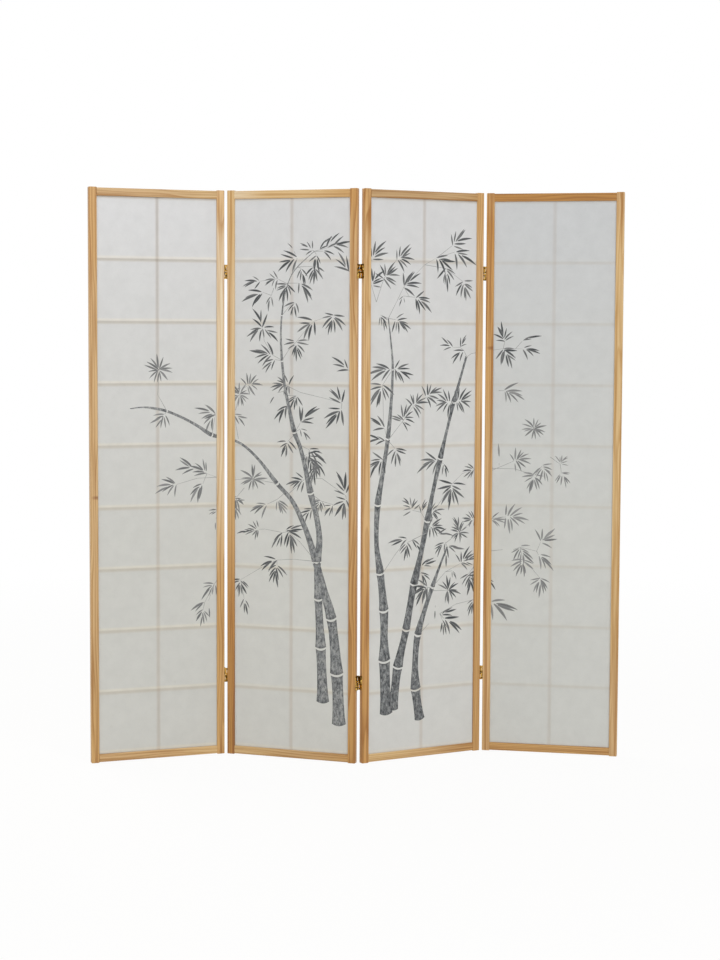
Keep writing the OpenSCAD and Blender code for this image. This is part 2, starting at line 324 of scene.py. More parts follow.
# mulberry paper, laid by hand: cloudy pulp, long thin fibres, light comes through it. Its colour also
# holds painted light: a painted shade tint per panel from top to bottom, warmer lower down; along the
# lattice the wood showing through, with painted shade where the lattice blocks the light from behind;
# a painted cream highlight just above each bar; and the lattice's painted shadow, grey, which grows
# with height.
paper = {
    "sheet": "#F6F7F9", "cloud": "#F0F1F3", "fibre": "#E9E9E8", "through": "#F0F0F1", "lets": 0.18,
    "plain": "#F7F7F7", "clear": "#F4F4F4", "gluedAndShaded": "#EDE8E1", "above": "#FFFBF4", "onPost": "#EFEAE6",
    "shadow": "#E4E4E2", "rowStep": 0.1929, "top": 1.763, "postAt": 0.2175,
    "clouds": 28.0, "cloudRange": (0.35, 0.7), "fibres": 70.0, "fibreTwist": 1.6,
    "fibreFade": (0.0, 0.012, 0.5, 0.0), "shadeTintHeights": (1.7, 0.7), "shadowHeights": (0.9, 1.7),
    # for each panel: how much shows of the bars and the post (wood tint and painted shade), of the painted
    # cream highlight and, at the top, of the painted shadow, and the painted shade tint at its top and its
    # bottom, which is darker at the bottom of panel 1 and at the top of panel 4
    "shows": {1: (1.0, 1.0, 1.0, 0.58, "#FFFFFF", "#F8F8F2"),
              2: (1.0, 1.0, 0.6, 0.17, "#FFFFFF", "#FFFFF9"),
              3: (1.0, 1.0, 0.5, 0.25, "#FFFFFF", "#FFFFFB"),
              4: (0.55, 0.65, 0.1, 0.0, "#F6F8F9", "#FCFDF8")},
}


def between(start, end, share):
    return tuple(a + (b - a) * share for a, b in zip(start, end))


def mulberryPaper(name, turn, corner, bars, post, paintedHighlightShare, shaded, topShadeTint, bottomShadeTint):
    material, tree = newMaterial(name)
    cloud = noise(tree, objectPlace(tree), paper["clouds"], 4.0, Roughness=0.6)
    sheet = mixColors(tree, mapped(tree, cloud, *paper["cloudRange"]),
                      hexColor(paper["sheet"]), hexColor(paper["cloud"]))
    # fibres are the thin contour lines of a twisted noise
    twist = noise(tree, objectPlace(tree), paper["fibres"], 1.0, Distortion=paper["fibreTwist"])
    ridge = calc(tree, "ABSOLUTE", calc(tree, "SUBTRACT", twist, 0.5))
    color = mixColors(tree, mapped(tree, ridge, *paper["fibreFade"]), sheet, hexColor(paper["fibre"]))
    axes = splitAxes(tree, panelPlace(tree, turn, corner))
    # painted shade: the paper's tint blends from its top tint to its bottom tint between these heights
    lower = mapped(tree, axes["Z"], *paper["shadeTintHeights"])
    paintedShadeTint = mixColors(tree, lower, hexColor(topShadeTint), hexColor(bottomShadeTint))
    color = mixColors(tree, 1.0, color, paintedShadeTint, "MULTIPLY")
    # places counted in rows, from 20 rows below the top, so that every bar and the post are at a half
    # and a ramp spans one row
    row = paper["rowStep"]
    rowsUp = calc(tree, "MULTIPLY_ADD", axes["Z"], 1 / row, 20.5 - paper["top"] / row)
    inRow = calc(tree, "FRACT", rowsUp)
    fromPost = calc(tree, "MULTIPLY_ADD", axes["X"], 1 / row, 0.5 - paper["postAt"] / row)
    plain, clear, shadow = (hexColor(paper[key]) for key in ("plain", "clear", "shadow"))
    gluedAndShaded = between(clear, hexColor(paper["gluedAndShaded"]), bars)
    # painted highlight: a cream line just above each bar, standing in for light thrown onto the paper by the
    # bar's top face
    above = between(clear, hexColor(paper["above"]), paintedHighlightShare)
    onPost = between(plain, hexColor(paper["onPost"]), post)
    # millimetres up from a bar or right of the post, and the paper's tint there: on the lattice the wood
    # showing through, partly painted shade; just above a bar a painted cream highlight; and the painted
    # shadow
    barStops = [(-9, clear), (-3, gluedAndShaded), (1, gluedAndShaded), (5, above), (7.5, above), (13, clear)]
    postStops = [(-9, plain), (-2.5, onPost), (2.5, onPost), (8, plain)]
    shadeStops = [(-7, grey(1)), (-2, shadow), (1, shadow), (4, grey(1))]
    higher = mapped(tree, axes["Z"], *paper["shadowHeights"], 0.0, shaded)
    for across, stops, amount in ((inRow, barStops, 1.0), (fromPost, postStops, 1.0),
                                  (inRow, shadeStops, higher), (fromPost, shadeStops, higher)):
        tint = ramp(tree, across, [(0.5 + mm / 1000 / row, shade) for mm, shade in stops])
        color = mixColors(tree, amount, color, tint, "MULTIPLY")
    bump = addNode(tree, "ShaderNodeBump", {"Height": cloud, "Strength": 0.12, "Distance": 0.0008})
    face = addNode(tree, "ShaderNodeBsdfPrincipled", {
        "Base Color": color, "Roughness": 0.85, "Specular IOR Level": 0.2, "Normal": bump.outputs[0]})
    glow = addNode(tree, "ShaderNodeBsdfTranslucent", {
        "Color": hexColor(paper["through"]), "Normal": bump.outputs[0]})
    both = addNode(tree, "ShaderNodeMixShader", {0: paper["lets"], 1: face.outputs[0], 2: glow.outputs[0]})
    return surfaced(material, tree, both)


for i, (turn, place) in stands.items():
    dress(nodes[f"paper_{i}"],
          mulberryPaper(f"mulberryPaper_{i}", turn, place.translation, *paper["shows"][i]))
print("paper dressed")


# brass-plated steel sheet and pins, polished, with dark brown patches that are partly tarnish and partly
# painted dark reflection
brass = {"bright": "#DDB460", "brownTarnishAndDarkReflection": "#3E2906", "patchMm": 6, "patchesOfTarnishAndReflection": (0.48, 0.58, 0.0, 0.92),
         "roughness": (0.0, 1.0, 0.14, 0.4)}


def rolledBrass():
    material, tree = newMaterial("rolledBrass")
    patch = noise(tree, objectPlace(tree), 1000 / brass["patchMm"], 2.0)
    # dark patches: partly tarnish, partly painted dark reflection
    color = mixColors(tree, mapped(tree, patch, *brass["patchesOfTarnishAndReflection"]),
                      hexColor(brass["bright"]), hexColor(brass["brownTarnishAndDarkReflection"]))
    surface = addNode(tree, "ShaderNodeBsdfPrincipled", {
        "Base Color": color, "Metallic": 1.0, "Roughness": mapped(tree, patch, *brass["roughness"])})
    return surfaced(material, tree, surface)


hingeBrass = rolledBrass()
for nodeName, obj in nodes.items():
    if nodeName.startswith("hinge"):
        dress(obj, hingeBrass)
print("hinges dressed")


# brushed ink on the front of the paper: bamboo stems, twigs and leaves. Lengths are metres, angles
# degrees, and shares are parts of a leaf's or a stem's size.
inkSizes = {
    "film": 0.0001, "layer": 0.000005, "layers": 12, "underFrame": 0.002,
    "ringGap": 0.0032, "ringGapShare": 0.08, "ringBow": 0.14,
    "twigWidth": 0.0015, "twigTaper": 0.85, "twigTone": 0.45,
    "leafShare": 0.87, "leafLong": (0.72, 1.12), "leafSlender": (0.13, 0.17), "leafBend": 1.3,
    "middleLeaf": 1.05, "outerLeafLess": 0.3, "leafEvery": 17, "wideFanSparser": 0.02,
    "leafSwing": 9, "leafAway": (0.0005, 0.0075), "leafScatter": 0.002,
    "toneSwing": 0.14, "straightShare": 0.2, "uprightCosine": 0.25,
    "shootShare": 0.45, "shootSwing": (0.6, 1.1), "starSpread": 240,
}
dice = random.Random(41)

# The drawing lies flat over all four panels, in millimetres from the screen's lower left corner.
# A path goes from root to tip: x, height, width. Rings are the heights of a stem's joints. Density
# is how much ink the first and the last joint hold, and leafTone how much the leaves hold.
# A spray is a twig: its points, and where leaves grow also their middle direction in degrees
# from the right, how far they spread, and how long the leaves are.
bamboo = {
    "archingStem": {
        "density": (0.45, 0.45), "leafTone": 0.72,
        "path": [(822, 120, 42), (815, 270, 40), (797, 445, 32), (768, 545, 29), (742, 635, 23),
                 (711, 725, 19), (666, 815, 16), (612, 872, 13), (555, 940, 10), (505, 985, 9),
                 (462, 1006, 9), (395, 1022, 12), (350, 1050, 10), (300, 1077, 9), (247, 1099, 8),
                 (208, 1108, 8), (168, 1112, 5), (128, 1108, 2)],
        "rings": [272, 447, 628, 872, 1022, 1099],
        "sprays": [
            [(247, 1100), (218, 1150), (222, 1228, 90, 335, 48)],
            [(247, 1098), (240, 1090, 235, 125, 42)],
            [(395, 1024), (406, 1088, 160, 90, 50)],
            [(400, 1080), (398, 1080, 238, 50, 46)],
            [(480, 1010), (465, 1087, 335, 50, 36)],
            [(470, 1100), (484, 1150, 90, 335, 40), (500, 1172, 180, 0, 20), (510, 1178, 20, 200, 40)],
            [(440, 780), (414, 782, 180, 60, 24)],
            [(430, 760), (406, 758, 268, 0, 24)],
            [(455, 822), (464, 820, 345, 60, 30)],
            [(455, 795), (465, 796, 285, 60, 38)],
            [(420, 570), (402, 548, 225, 110, 44), (383, 495, 275, 0, 42)],
            [(402, 548), (370, 490, 206, 20, 56)],
            [(370, 490), (364, 466, 260, 110, 38)],
            [(612, 872), (530, 885, 100, 335, 46), (466, 880), (410, 888), (378, 900, 138, 100, 52),
             (335, 916, 160, 60, 58)],
            [(410, 888), (345, 886), (278, 868, 190, 110, 52)],
            [(378, 900), (364, 868, 225, 80, 54)],
            [(640, 845), (612, 822, 300, 90, 44), (578, 806, 200, 70, 54)],
            [(500, 855), (474, 825, 255, 130, 46)],
        ]},
    "tallStem": {
        "density": (0.5, 0.5), "leafTone": 0.94,
        "path": [(768, 188, 38), (761, 350, 33), (752, 512, 26), (748, 625, 24), (755, 700, 21),
                 (744, 775, 20), (725, 845, 20), (708, 920, 16), (689, 990, 14), (670, 1035, 15),
                 (652, 1110, 12), (637, 1180, 10), (628, 1258, 8), (624, 1330, 7), (627, 1400, 5),
                 (640, 1475, 4), (668, 1538, 3), (735, 1598, 2)],
        "rings": [352, 512, 628, 845, 1035, 1258, 1400],
        "sprays": [
            [(735, 1598), (752, 1602, 52, 30, 44), (775, 1608, 50, 30, 46), (798, 1613, 15, 60, 52)],
            [(735, 1598), (765, 1598, 338, 25, 52)],
            [(868, 1520), (850, 1536, 124, 50, 62)],
            [(735, 1598), (728, 1602, 150, 100, 34)],
            [(735, 1598), (742, 1588, 268, 90, 42)],
            [(680, 1550), (736, 1552, 272, 130, 48)],
            [(680, 1550), (692, 1545, 280, 80, 38)],
            [(668, 1540), (678, 1578, 195, 100, 58)],
            [(672, 1590), (668, 1598, 128, 0, 26)],
            [(645, 1498), (612, 1514, 190, 120, 36), (552, 1506, 185, 80, 44)],
            [(600, 1485), (592, 1462, 248, 60, 36), (562, 1472, 200, 70, 58)],
            [(645, 1500), (645, 1497, 240, 150, 46)],
            [(645, 1500), (685, 1500, 312, 80, 56)],
            [(628, 1400), (652, 1428), (672, 1440, 245, 100, 42)],
            [(628, 1260), (655, 1298), (676, 1318, 270, 220, 46), (705, 1352), (735, 1382, 212, 110, 58),
             (798, 1402, 262, 190, 50)],
            [(628, 1260), (596, 1276, 165, 110, 56), (568, 1320), (560, 1360, 205, 70, 48),
             (559, 1363, 100, 60, 56), (562, 1362, 325, 80, 50)],
            [(628, 1258), (604, 1262, 215, 60, 50)],
            [(862, 1210), (850, 1232, 140, 60, 50)],
            [(640, 1180), (650, 1184, 180, 200, 44)],
            [(645, 1165), (612, 1158, 222, 0, 32)],
            [(648, 1150), (676, 1150, 250, 100, 38)],
            [(652, 1120), (646, 1118, 228, 60, 52)],
            [(672, 1035), (690, 1066, 48, 100, 58)],
            [(672, 1035), (690, 1046, 318, 60, 36)],
            [(645, 1180), (690, 1160), (785, 1140), (828, 1128, 120, 70, 52)],
            [(828, 1128), (826, 1110, 228, 100, 62)],
            [(672, 1030), (648, 1006, 250, 140, 44)],
            [(690, 995), (718, 982, 330, 100, 50), (742, 948, 290, 80, 46)],
            [(700, 962), (722, 952, 300, 110, 46), (738, 925, 262, 90, 40)],
            [(700, 962), (712, 966, 320, 120, 52)],
            [(725, 890), (762, 893), (842, 842, 108, 90, 60)],
            [(842, 842), (844, 830, 235, 120, 56)],
            [(735, 838), (760, 822, 240, 150, 34), (800, 812, 225, 70, 40)],
            [(738, 815), (730, 795, 215, 80, 44)],
            [(650, 840), (704, 888, 200, 110, 48)],
            [(735, 632), (665, 635), (612, 630, 195, 60, 56), (560, 605), (488, 562, 260, 160, 40)],
            [(612, 630), (612, 614, 262, 130, 56)],
            [(488, 562), (500, 502, 280, 60, 42)],
            [(735, 640), (690, 690), (650, 722, 288, 100, 56)],
            [(650, 722), (640, 724, 15, 50, 48)],
            [(650, 722), (630, 718, 235, 50, 46), (570, 727), (550, 725, 185, 150, 36)],
            [(548, 722), (522, 718, 182, 30, 36)],
        ]},
    "leftStem": {
        "density": (0.95, 0.5), "leafTone": 0.92,
        "path": [(975, 150, 41), (968, 312, 39), (966, 390, 30), (965, 472, 31), (952, 590, 26),
                 (937, 690, 18), (940, 806, 21), (956, 900, 17), (975, 1012, 15), (986, 1120, 12),
                 (992, 1234, 8), (986, 1310, 6), (975, 1392, 4)],
        "rings": [314, 474, 592, 808, 1014, 1234],
        "sprays": [
            [(975, 1392), (946, 1402, 300, 90, 44)],
            [(975, 1392), (1002, 1388, 330, 150, 44)],
            [(975, 1392), (1008, 1450), (1030, 1490, 38, 110, 56), (1105, 1560), (1148, 1582, 340, 100, 62)],
            [(1148, 1582), (1206, 1622, 42, 120, 56)],
            [(1148, 1582), (1215, 1602, 338, 80, 62)],
            [(1105, 1560), (1182, 1550, 282, 120, 52), (1246, 1510, 290, 150, 48)],
            [(1030, 1490), (1050, 1460), (1072, 1458, 330, 120, 50)],
            [(1050, 1460), (1028, 1462, 245, 60, 28)],
            [(932, 1442), (958, 1514, 40, 190, 52), (1004, 1574, 22, 150, 54)],
            [(900, 1540), (914, 1572, 60, 120, 56)],
            [(932, 1442), (914, 1494, 58, 120, 46)],
            [(992, 1234), (984, 1234, 185, 70, 66)],
            [(992, 1234), (1000, 1234, 345, 130, 48)],
            [(985, 1225), (956, 1186, 248, 160, 58), (960, 1070)],
            [(972, 1020), (964, 1050, 142, 60, 56)],
            [(972, 1010), (964, 1012, 168, 60, 52)],
            [(978, 1015), (1028, 1070, 60, 210, 46), (1066, 1117, 40, 190, 46), (1113, 1146, 30, 160, 50),
             (1205, 1132)],
            [(980, 1008), (1002, 986, 285, 140, 48)],
            [(965, 960), (958, 954, 212, 130, 54)],
            [(957, 592), (1002, 650), (1048, 700, 186, 50, 52)],
            [(1120, 716), (1048, 688, 262, 90, 48)],
            [(1120, 716), (1066, 696, 316, 40, 46)],
        ]},
    "leaningStem": {
        "density": (1.0, 0.9), "leafTone": 0.92,
        "path": [(1000, 162, 32), (1015, 288, 33), (1044, 405, 26), (1072, 548, 26), (1098, 650, 20),
                 (1120, 748, 21), (1140, 840, 15), (1166, 945, 18), (1190, 1035, 11), (1216, 1128, 13),
                 (1240, 1205, 9), (1262, 1274, 8)],
        "rings": [290, 407, 550, 750, 946, 1128],
        "sprays": [
            [(1258, 1268), (1280, 1282), (1345, 1292), (1386, 1298, 300, 150, 50), (1425, 1298),
             (1446, 1298, 350, 80, 44)],
            [(1386, 1298), (1390, 1320, 100, 130, 48)],
            [(1425, 1298), (1446, 1322, 28, 30, 40)],
            [(1262, 1274), (1252, 1292, 205, 60, 54), (1238, 1302, 62, 60, 36), (1210, 1302, 155, 60, 44)],
            [(1216, 1128), (1206, 1126, 172, 190, 48)],
            [(1216, 1128), (1226, 1130, 8, 190, 48)],
            [(1166, 945), (1158, 945, 190, 90, 62)],
            [(1166, 940), (1180, 934, 292, 60, 42)],
            [(1125, 752), (1160, 802), (1212, 868, 265, 200, 62), (1250, 900), (1296, 912, 190, 110, 36)],
            [(1118, 752), (1098, 782, 75, 50, 36), (1066, 790, 115, 170, 40)],
            [(1122, 752), (1132, 782, 10, 170, 38)],
            [(1120, 748), (1130, 736, 350, 150, 46), (1160, 712, 5, 30, 42)],
            [(1085, 555), (1102, 612, 25, 60, 44)],
            [(1085, 555), (1098, 590, 318, 60, 44)],
        ]},
    "shortStem": {
        "density": (0.95, 0.8), "leafTone": 0.91,
        "path": [(1098, 122, 33), (1083, 214, 34), (1080, 300, 24), (1088, 388, 24), (1112, 465, 18),
                 (1140, 538, 15), (1166, 602, 9), (1196, 668, 6)],
        "rings": [216, 390, 540],
        "sprays": [
            [(1196, 668), (1198, 668, 345, 40, 46)],
            [(1196, 668), (1188, 684, 216, 70, 46)],
            [(1196, 668), (1196, 664, 262, 40, 40)],
            [(1190, 680), (1240, 712, 80, 320, 38), (1297, 752, 180, 150, 36)],
            [(1145, 545), (1190, 588), (1246, 612, 40, 130, 48)],
            [(1190, 588), (1216, 590, 300, 50, 24)],
            [(1145, 530), (1200, 528, 10, 260, 48)],
            [(1140, 538), (1124, 543, 208, 130, 52)],
            [(1297, 600), (1276, 576, 290, 170, 50)],
            [(1330, 590), (1340, 562, 300, 60, 42)],
            [(1092, 392), (1130, 426)],
            [(1170, 455), (1230, 482), (1297, 492, 250, 90, 40)],
            [(1170, 455), (1176, 450, 25, 50, 50)],
            [(1170, 455), (1186, 438, 330, 50, 66)],
            [(1170, 455), (1180, 434, 280, 50, 38)],
            [(1153, 482), (1153, 476, 270, 0, 28)],
        ]},
    "farTwigs": {
        "leafTone": 0.66,
        "sprays": [
            [(1372, 1164), (1390, 1164, 340, 120, 58)],
            [(1486, 1042), (1486, 1045, 90, 320, 42)],
            [(1345, 905), (1424, 940, 20, 190, 44)],
            [(1376, 925), (1376, 932, 90, 0, 48)],
            [(1345, 915), (1425, 915), (1492, 896, 250, 190, 46)],
            [(1492, 896), (1514, 926, 300, 170, 42)],
            [(1540, 955), (1572, 932, 60, 120, 30)],
            [(1572, 932), (1576, 905, 300, 140, 34)],
            [(1345, 752), (1400, 760, 352, 190, 54)],
            [(1340, 752), (1350, 750, 0, 90, 38)],
            [(1345, 648), (1390, 654)],
            [(1425, 655), (1446, 664, 290, 170, 48), (1500, 652), (1512, 682, 42, 120, 50)],
            [(1446, 664), (1456, 622, 260, 170, 44), (1490, 590), (1512, 566, 270, 150, 44)],
            [(1500, 652), (1506, 640, 322, 70, 54)],
            [(1330, 500), (1350, 484, 338, 80, 74)],
        ]},
    "nearTwigs": {
        "leafTone": 0.92,
        "sprays": [
            [(1297, 600), (1288, 578, 262, 110, 46)],
            [(1240, 712), (1240, 716, 105, 70, 44)],
            [(1140, 538), (1116, 545, 236, 90, 54)],
            [(1258, 620), (1262, 618, 15, 60, 40)],
        ]},
}


def strokePattern(name, width, bend, steps, across=2):
    # a brush stroke along +X, 1 long and 1 wide at its belly: width and bend are functions of x
    deselectAll()
    bpy.ops.mesh.primitive_grid_add(x_subdivisions=steps, y_subdivisions=across, size=1,
                                    location=(0.5, 0, 0))
    stroke = bpy.context.object
    stroke.name = name
    bpy.ops.object.transform_apply(location=True, rotation=False, scale=False)
    bpy.ops.object.mode_set(mode="EDIT")
    for k in range(steps + 1):
        x = k / steps
        selectVerts(stroke, lambda co: abs(co.x - x) < 0.01)
        bpy.ops.transform.resize(value=(1, width(x), 1), center_override=(x, 0, 0))
        bpy.ops.transform.translate(value=(0, bend(x), 0))
    bpy.ops.object.mode_set(mode="OBJECT")
    return stroke


def leafWidth(x):
    # the brush is set down blunt and lifted to a point
    return max(0.05, math.sin(math.pi * (0.05 + 0.95 * x) ** 0.9) ** 0.85)


def leafPattern(name, bend):
    return strokePattern(name, leafWidth, lambda x: bend * x * x, 8)


leafKinds = {
    "straight": leafPattern("straightLeaf", 0),
    "left": leafPattern("leftLeaf", inkSizes["leafBend"]),
    "right": leafPattern("rightLeaf", -inkSizes["leafBend"]),
}
twigKind = strokePattern("twig", lambda x: 1.2 - 0.5 * x, lambda x: 0, 3)
# a joint of a stem, widest at its lower end and flared at both
jointKind = strokePattern("joint", lambda x: 0.88 + 0.24 * (1 - x) ** 4 + 0.16 * x ** 9,
                          lambda x: 0, 14, across=6)


def strokeCopy(pattern, matrix, tone):
    mesh = pattern.data.copy()
    mesh.transform(matrix)
    density = mesh.attributes.new("inkTone", "FLOAT", "POINT")
    density.data.foreach_set("value", [tone] * len(mesh.vertices))
    return addObject("stroke", mesh)


def brushStroke(pattern, start, angle, length, width, tone):
    matrix = (Matrix.Translation((start[0], start[1], 0)) @ Matrix.Rotation(angle, 4, "Z")
              @ Matrix.Diagonal((length, width, 1, 1)))
    return strokeCopy(pattern, matrix, tone)


def leafKind(angle):
    # leaves droop: those that point right turn clockwise, those that point left the other way
    side = math.cos(angle)
    if abs(side) < inkSizes["uprightCosine"] or dice.random() < inkSizes["straightShare"]:
        return leafKinds["straight"]
    return leafKinds["right" if side > 0 else "left"]


def leafFan(tone, x, y, direction, spread, length):
    # leaves stand round a point, and on a narrow shoot the middle ones grow further along it
    leaves = []
    count = round(spread / (inkSizes["leafEvery"] + inkSizes["wideFanSparser"] * spread)) + 1
    shoot = inkSizes["shootShare"] * length / 1000 if spread < inkSizes["starSpread"] else 0
    middle = math.radians(direction)
    swing, scatter, toneSwing = (inkSizes[key] for key in ("leafSwing", "leafScatter", "toneSwing"))
    for k in range(count):
        share = k / (count - 1) - 0.5 if count > 1 else 0
        angle = math.radians(direction + spread * share + dice.uniform(-swing, swing))
        long = inkSizes["leafShare"] * length / 1000 * dice.uniform(*inkSizes["leafLong"])
        long *= inkSizes["middleLeaf"] - inkSizes["outerLeafLess"] * abs(share)
        along = shoot * (1 - 2 * abs(share)) * dice.uniform(*inkSizes["shootSwing"])
        away = dice.uniform(*inkSizes["leafAway"])
        start = (
            x / 1000 + along * math.cos(middle) + away * math.cos(angle) + dice.uniform(-scatter, scatter),
            y / 1000 + along * math.sin(middle) + away * math.sin(angle) + dice.uniform(-scatter, scatter))
        leaves.append(brushStroke(leafKind(angle), start, angle, long,
                                  long * dice.uniform(*inkSizes["leafSlender"]),
                                  tone + dice.uniform(-toneSwing, toneSwing)))
    return leaves


def inkSpray(points, tone):
    strokes = []
    width = inkSizes["twigWidth"]
    for a, b in zip(points, points[1:]):
        run = Vector((b[0] - a[0], b[1] - a[1])) / 1000
        strokes.append(brushStroke(twigKind, (a[0] / 1000, a[1] / 1000), math.atan2(run.y, run.x),
                                   run.length, width, inkSizes["twigTone"]))
        width *= inkSizes["twigTaper"]
        if len(b) > 2:
            strokes += leafFan(tone, *b)
    return strokes


def smoothPath(points, steps=20):
    # a curve through the points, with the tangent at each along its neighbours
    dense = []
    for k in range(len(points) - 1):
        a, b, c, d = (Vector(points[min(max(k + n, 0), len(points) - 1)]) / 1000 for n in (-1, 0, 1, 2))
        for s in range(steps):
            t = s / steps
            dense.append(0.5 * (2 * b + (c - a) * t + (2 * a - 5 * b + 4 * c - d) * t * t
                                + (3 * b - a - 3 * c + d) * t ** 3))
    return dense + [Vector(points[-1]) / 1000]


def bendAlong(obj, dense):
    # the stem's straight length follows the path, and its width the path's widths
    guide = bpy.data.curves.new(obj.name + "Guide", "CURVE")
    guide.dimensions = "2D"
    line = guide.splines.new("POLY")
    line.points.add(len(dense) - 1)
    for point, place in zip(line.points, dense):
        point.co = (place.x, place.y, 0, 1)
        point.radius = place.z
    guideObject = addObject(guide.name, guide)
    pickOnly(obj)
    follow = obj.modifiers.new("follow", "CURVE")
    follow.object = guideObject
    follow.deform_axis = "POS_X"
    bpy.ops.object.modifier_apply(modifier=follow.name)
    bpy.data.objects.remove(guideObject)


def inkStem(name, path, rings, density):
    dense = smoothPath(path)
    run = [0.0]
    for a, b in zip(dense, dense[1:]):
        run.append(run[-1] + (b.xy - a.xy).length)
    marks = [0] + [next(k for k, p in enumerate(dense) if p.y * 1000 >= h) for h in rings] + [len(dense) - 1]
    joints = []
    for a, b in zip(marks, marks[1:]):
        tone = density[0] + (density[1] - density[0]) * len(joints) / len(rings)
        width = dense[a].z
        gap = (inkSizes["ringGap"] + inkSizes["ringGapShare"] * width) / 2
        low = run[a] + (gap if a > 0 else 0)
        high = run[b] - (gap if b < marks[-1] else 0)
        joint = strokeCopy(jointKind, Matrix.Translation((low, 0, 0))
                           @ Matrix.Diagonal((high - low, 1, 1, 1)), tone)
        for v in joint.data.vertices:      # rings sag in the middle, so both ends of a joint do
            v.co.x -= inkSizes["ringBow"] * width * (1 - (2 * v.co.y) ** 2)
        joints.append(joint)
    stem = joinAll(joints, name)
    bendAlong(stem, dense)
    return stem


# carbon ink: stems are brushed nearly dry, mottled and darker at their joints, leaves are one wet
# stroke each
ink = {
    "dark": "#3E4144", "mid": "#7E8184", "worn": "#A8AAAA", "speck": "#3A3C3E", "leaf": "#3E4144",
    "leafEdge": "#85888A", "thin": "#B9BABA", "mottleMm": 7.5, "wetter": -0.16,
    "mottle": [(0.18, "dark"), (0.38, "mid"), (0.54, "worn")],
    "speckMm": 3.5, "specks": (0.58, 0.68, 0.0, 0.7), "jointEnds": (0.44, 0.5, 0.0, 0.45),
    "jointSides": (0.34, 0.5, 0.0, 0.35), "leafSides": (0.12, 0.5, 0.0, 0.8),
    "watered": (0.4, 1.0, 0.75, 0.0),
}


def mottledInk():
    material, tree = newMaterial("dryBrushedInk")
    drawn = stretched(tree, objectPlace(tree), (1, 1, 0.5))
    mottle = noise(tree, drawn, 1000 / ink["mottleMm"], 4.0, Roughness=0.65)
    density = addNode(tree, "ShaderNodeAttribute", attribute_name="inkTone")
    soaked = calc(tree, "MULTIPLY_ADD", density.outputs["Fac"], ink["wetter"], mottle)
    tones = ramp(tree, soaked, [(at, hexColor(ink[tone])) for at, tone in ink["mottle"]])
    specks = noise(tree, drawn, 1000 / ink["speckMm"], 1.0)
    spotted = mixColors(tree, mapped(tree, specks, *ink["specks"]), tones, hexColor(ink["speck"]))
    # ink gathers at both ends of a joint and along its sides
    stroke = addNode(tree, "ShaderNodeUVMap", uv_map="UVMap")
    centred = calcVector(tree, "SUBTRACT", stroke.outputs[0], (0.5, 0.5, 0))
    axes = splitAxes(tree, calcVector(tree, "ABSOLUTE", centred))
    ends = mapped(tree, axes["X"], *ink["jointEnds"])
    sides = mapped(tree, axes["Y"], *ink["jointSides"])
    color = mixColors(tree, calc(tree, "MAXIMUM", ends, sides), spotted, hexColor(ink["dark"]))
    surface = addNode(tree, "ShaderNodeBsdfPrincipled", {
        "Base Color": color, "Roughness": 0.8, "Specular IOR Level": 0.2})
    return surfaced(material, tree, surface)


def wetInk():
    material, tree = newMaterial("wetBrushedInk")
    stroke = addNode(tree, "ShaderNodeUVMap", uv_map="UVMap")
    across = splitAxes(tree, stroke.outputs[0])["Y"]
    out = calc(tree, "ABSOLUTE", calc(tree, "SUBTRACT", across, 0.5))
    body = mixColors(tree, mapped(tree, out, *ink["leafSides"]),
                     hexColor(ink["leaf"]), hexColor(ink["leafEdge"]))
    density = addNode(tree, "ShaderNodeAttribute", attribute_name="inkTone")
    watered = mapped(tree, density.outputs["Fac"], *ink["watered"])
    color = mixColors(tree, watered, body, hexColor(ink["thin"]))
    surface = addNode(tree, "ShaderNodeBsdfPrincipled", {
        "Base Color": color, "Roughness": 0.7, "Specular IOR Level": 0.25})
    return surfaced(material, tree, surface)


dryInk, leafInk = mottledInk(), wetInk()
for obj in [*leafKinds.values(), twigKind]:
    dress(obj, leafInk)
dress(jointKind, dryInk)

strokes = []
for name, plant in bamboo.items():
    if "path" in plant:
        strokes.append(inkStem(name, plant["path"], plant["rings"], plant["density"]))
    for points in plant["sprays"]:
        strokes += inkSpray(points, plant["leafTone"])
for k, stroke in enumerate(strokes):       # no two strokes that cross lie at one height
    stroke.data.transform(Matrix.Translation((0, 0, inkSizes["layer"] * (2 + k % inkSizes["layers"]))))
print("bamboo drawn:", len(strokes), "strokes")
drawing = joinAll(strokes, "drawing")
for obj in [*leafKinds.values(), twigKind, jointKind]:
    bpy.data.objects.remove(obj)


def inkOnPanel(i):
    # the drawing runs over all four sheets, so each panel keeps what falls on its own
    turn, place = stands[i]
    mesh = drawing.data.copy()
    film = addObject(f"inkBamboo_{i}", mesh)
    inward = frameSizes["stile"] - inkSizes["underFrame"]
    left = (i - 1) * pitch + inward
    right = (i - 1) * pitch + frameSizes["panel"] - inward
    pickOnly(film)
    bpy.ops.object.mode_set(mode="EDIT")
    bpy.ops.mesh.select_all(action="SELECT")
    bpy.ops.mesh.bisect(plane_co=(left, 0, 0), plane_no=(1, 0, 0), clear_inner=True)
    bpy.ops.mesh.select_all(action="SELECT")
    bpy.ops.mesh.bisect(plane_co=(right, 0, 0), plane_no=(1, 0, 0), clear_outer=True)
    bpy.ops.object.mode_set(mode="OBJECT")
    thick = film.modifiers.new("film", "SOLIDIFY")
    thick.thickness = inkSizes["film"]
    thick.offset = -1.0     # into the paper
    bpy.ops.object.modifier_apply(modifier=thick.name)
    upright = Matrix(((1, 0, 0, -(i - 1) * pitch), (0, 0, -1, frameSizes["paperBack"]),
                      (0, 1, 0, 0), (0, 0, 0, 1)))
    mesh.transform(place @ upright)
    mesh.update()
    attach(film, f"panel_{i}")
    print("ink on panel", i, len(mesh.polygons), "faces")


for i in stands:
    inkOnPanel(i)
bpy.data.objects.remove(drawing)


